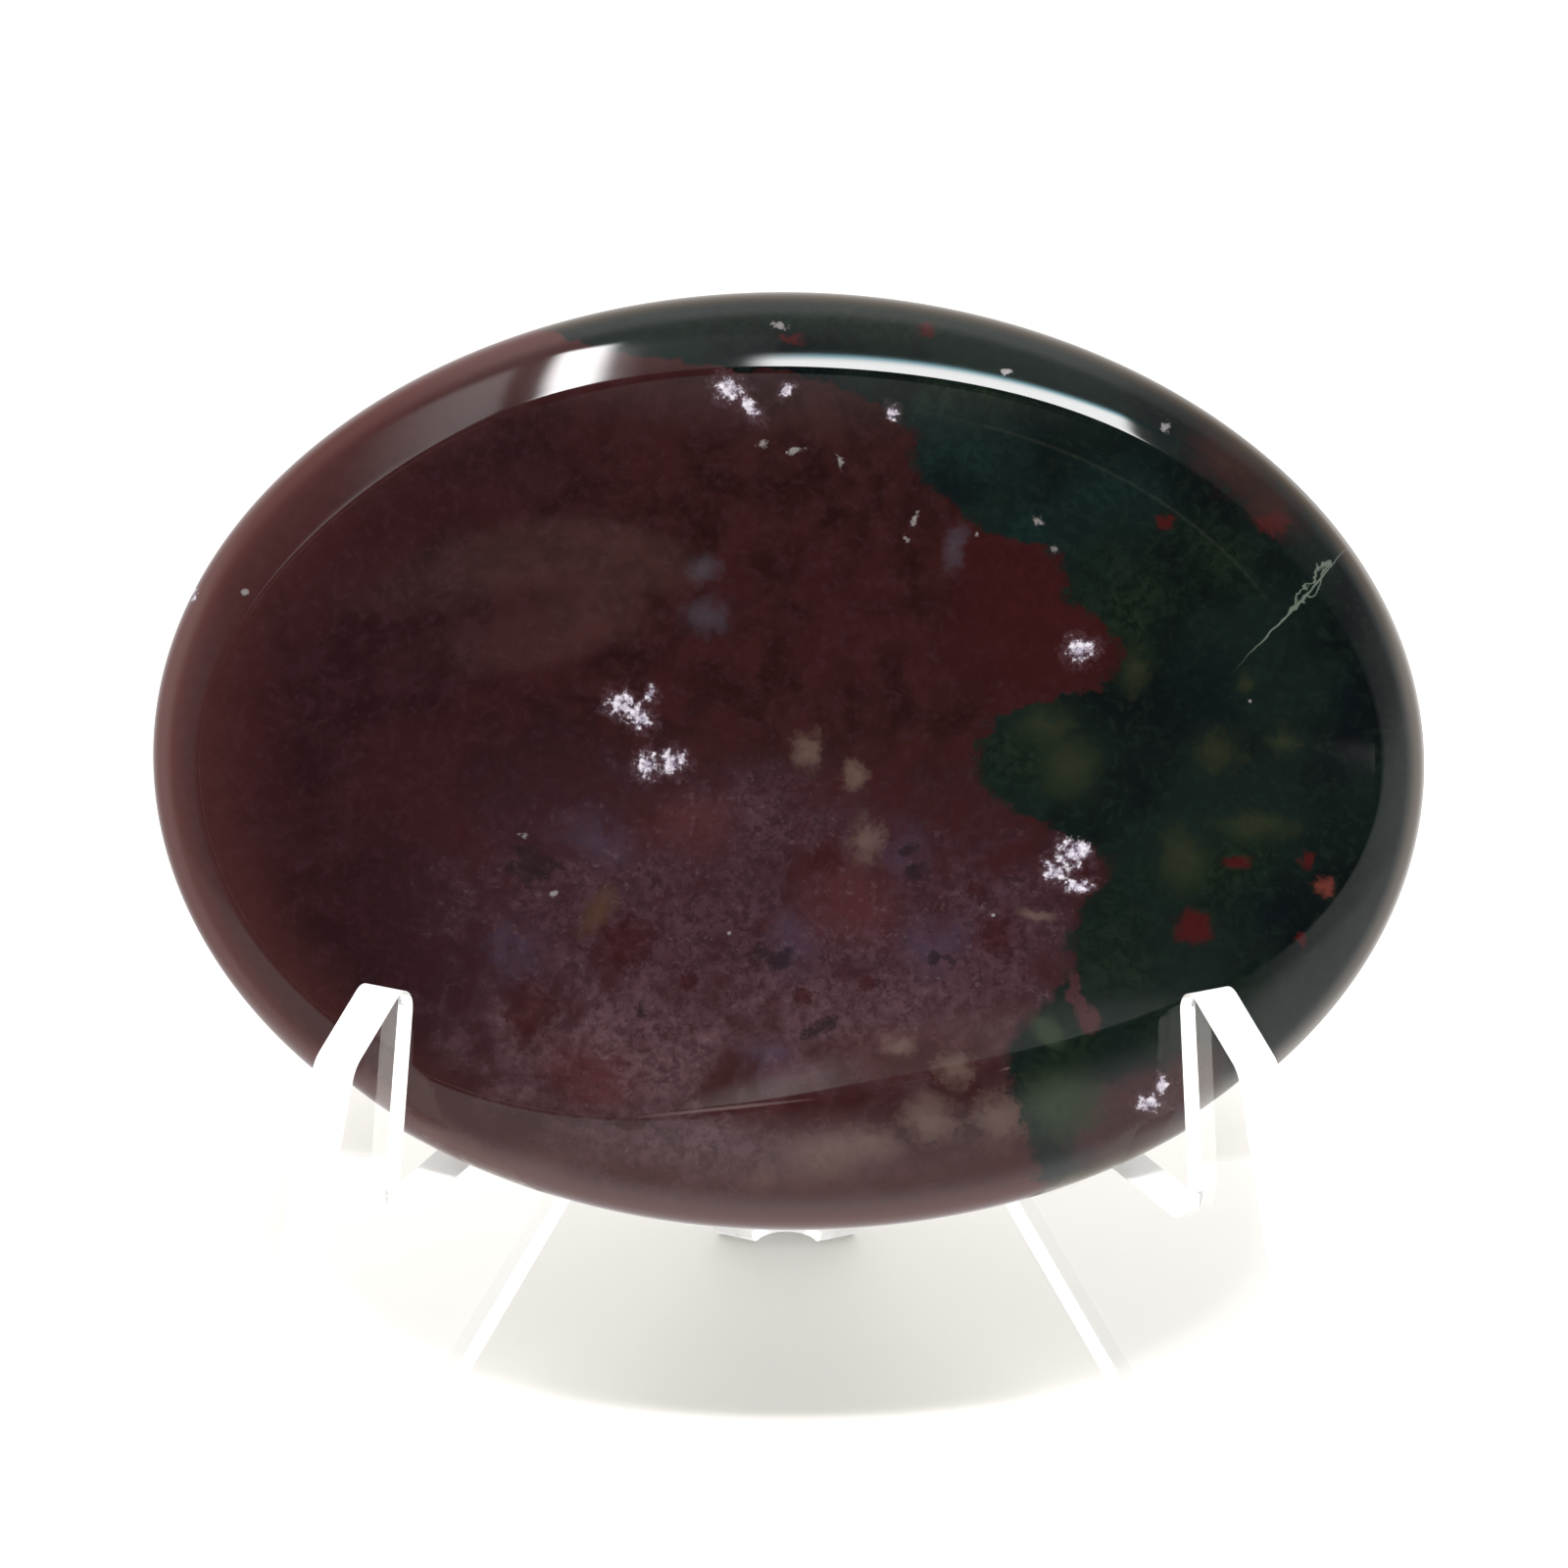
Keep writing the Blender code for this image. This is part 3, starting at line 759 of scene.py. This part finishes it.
def make_world():
    """White all round for light and backdrop; mirrored surfaces see a room with windows above."""
    world = bpy.data.worlds.new("Bright tabletop studio")
    bpy.context.scene.world = world
    shader = Shader(world)
    ease = shader.ease
    way = shader.node("ShaderNodeTexCoord", output="Generated")
    parts = shader.node("ShaderNodeSeparateXYZ", {}, {0: way})
    right, back, up = (Wire(shader, parts.socket.node.outputs[axis]) for axis in "XYZ")
    viewer = tuple(towards(VIEW_SIDE, VIEW_RISE))
    facing = shader.node("ShaderNodeVectorMath", {"operation": "DOT_PRODUCT"}, {0: way, 1: viewer}, "Value")
    off_view = shader.node("ShaderNodeMath", {"operation": "ARCCOSINE"}, {0: facing}) * (180 / math.pi)
    sideways = shader.node("ShaderNodeMath", {"operation": "ABSOLUTE"}, {0: right})
    curve = [(angle / 180, light / ROOM_BRIGHTEST) for angle, light in ROOM]
    room = shader.node("ShaderNodeFloatCurve", {"curve": curve}, {"Value": off_view / 180}) * ROOM_BRIGHTEST
    room = room * (1 - ease(sideways, 0.35, 0.6) * ease(up, 0.35, 0.6) * 0.5)
    window_side = ease(right, 0.4, 0.6) * ease(up, 0.38, 0.15) * (0.4 + ease(off_view, 80, 100) * 0.5)
    table = ease(up, 0.01, -0.15) * 0.6 + ease(up, -0.45, -0.8) * 0.9
    over = up.most(0.02)
    left_right = right / over
    near_far = back / over
    overhead = ease(up, *OVERHEAD)
    strip = ease(left_right, *STRIP["left"]) * ease(left_right, *STRIP["right"])
    strip_back = ease(near_far - left_right * STRIP["slant"], *STRIP["back"])
    strip = strip * strip_back * ease(near_far, *STRIP["front"]) * STRIP["light"]
    square = ease(left_right, *SQUARE["left"]) * ease(left_right, *SQUARE["right"])
    square = square * ease(near_far + left_right * SQUARE["slant"], *SQUARE["back"])
    square = square * ease(near_far, *SQUARE["front"]) * SQUARE["light"]
    haze = ease(left_right, *HAZE["right"]) * ease(left_right, *HAZE["left"]) ** HAZE["left_fade"]
    haze = haze * ease(near_far, *HAZE["back"]) * HAZE["light"]
    between = ease(left_right, *BETWEEN["left"]) * ease(left_right, *BETWEEN["right"])
    between = between * ease(near_far, *BETWEEN["front"]) * ease(near_far, *BETWEEN["back"])
    by_square = ease(left_right, *BETWEEN["by_square"]) * BETWEEN["light_by_square"]
    between = between * (BETWEEN["light"] + by_square)
    ovals = [((way - middle) * (1 / width, 0.0, 1 / height)).length()
             for middle, (width, height) in PATCH_OVALS]
    patch = ease(ovals[0].least(ovals[1]), 1.1, 0.92) * ease(back, -0.9, -0.95)
    panes = (strip + square + haze + between) * overhead
    mirrored = room.most(table) + window_side + panes + patch * PATCH_LIGHT
    path = shader.node("ShaderNodeLightPath", output="Is Glossy Ray")
    through = Wire(shader, path.socket.node.outputs["Is Transmission Ray"])
    fringe = ease(strip_back, 0.0, 0.1) * ease(strip_back, 0.9, 0.4) * ease(left_right, -0.05, 0.05)
    sky = shader.mix(fringe * overhead, WHITE, FRINGE)
    sky = shader.mix(patch, sky, PATCH_WARMTH)
    seen = shader.node("ShaderNodeBackground", {}, {"Color": sky, "Strength": mirrored})
    plain = shader.node("ShaderNodeBackground", {}, {"Color": WHITE, "Strength": ALL_ROUND})
    surface = shader.node("ShaderNodeMixShader", {}, {0: path * (1 - through), 1: plain, 2: seen})
    shader.node("ShaderNodeOutputWorld", {}, {"Surface": surface})
    world.cycles.sampling_method = "NONE"


def make_key_light():
    """A lamp over the viewer, which throws the stone's shadow but isn't mirrored by the polish."""
    light = bpy.data.lights.new("key", "AREA")
    light.shape = "RECTANGLE"
    light.size, light.size_y = KEY_SIZE
    light.energy = KEY_POWER
    key = bpy.data.objects.new("key", light)
    bpy.context.scene.collection.objects.link(key)
    way = towards(0.0, KEY_RISE)
    key.location = STONE_MIDDLE + way * KEY_DISTANCE
    key.rotation_euler = way.to_track_quat("Z", "Y").to_euler()
    key.visible_glossy = False


def make_camera():
    lens = bpy.data.cameras.new("view")
    lens.sensor_width = SENSOR_MM
    lens.lens = SENSOR_MM * VIEW_DISTANCE / FRAME_WIDTH_AT_STONE
    camera = bpy.data.objects.new("view", lens)
    bpy.context.scene.collection.objects.link(camera)
    back = towards(VIEW_SIDE, VIEW_RISE)
    right = Vector((math.cos(VIEW_SIDE), math.sin(VIEW_SIDE), 0.0))
    up = back.cross(right)
    aim = STONE_MIDDLE - right * AIM_LEFT - up * AIM_DOWN
    turned_right = right * math.cos(VIEW_ROLL) + up * math.sin(VIEW_ROLL)
    turned_up = up * math.cos(VIEW_ROLL) - right * math.sin(VIEW_ROLL)
    turn = Matrix((turned_right, turned_up, back)).transposed().to_4x4()
    camera.matrix_world = Matrix.Translation(aim + back * VIEW_DISTANCE) @ turn
    bpy.context.scene.camera = camera


make_stone()
make_stand()
make_floor()
make_world()
make_key_light()
make_camera()
bpy.context.scene.view_settings.view_transform = "Standard"
bpy.context.scene.cycles.max_bounces = LIGHT_BOUNCES
bpy.context.scene.cycles.glossy_bounces = LIGHT_BOUNCES
bpy.context.scene.cycles.transmission_bounces = LIGHT_BOUNCES
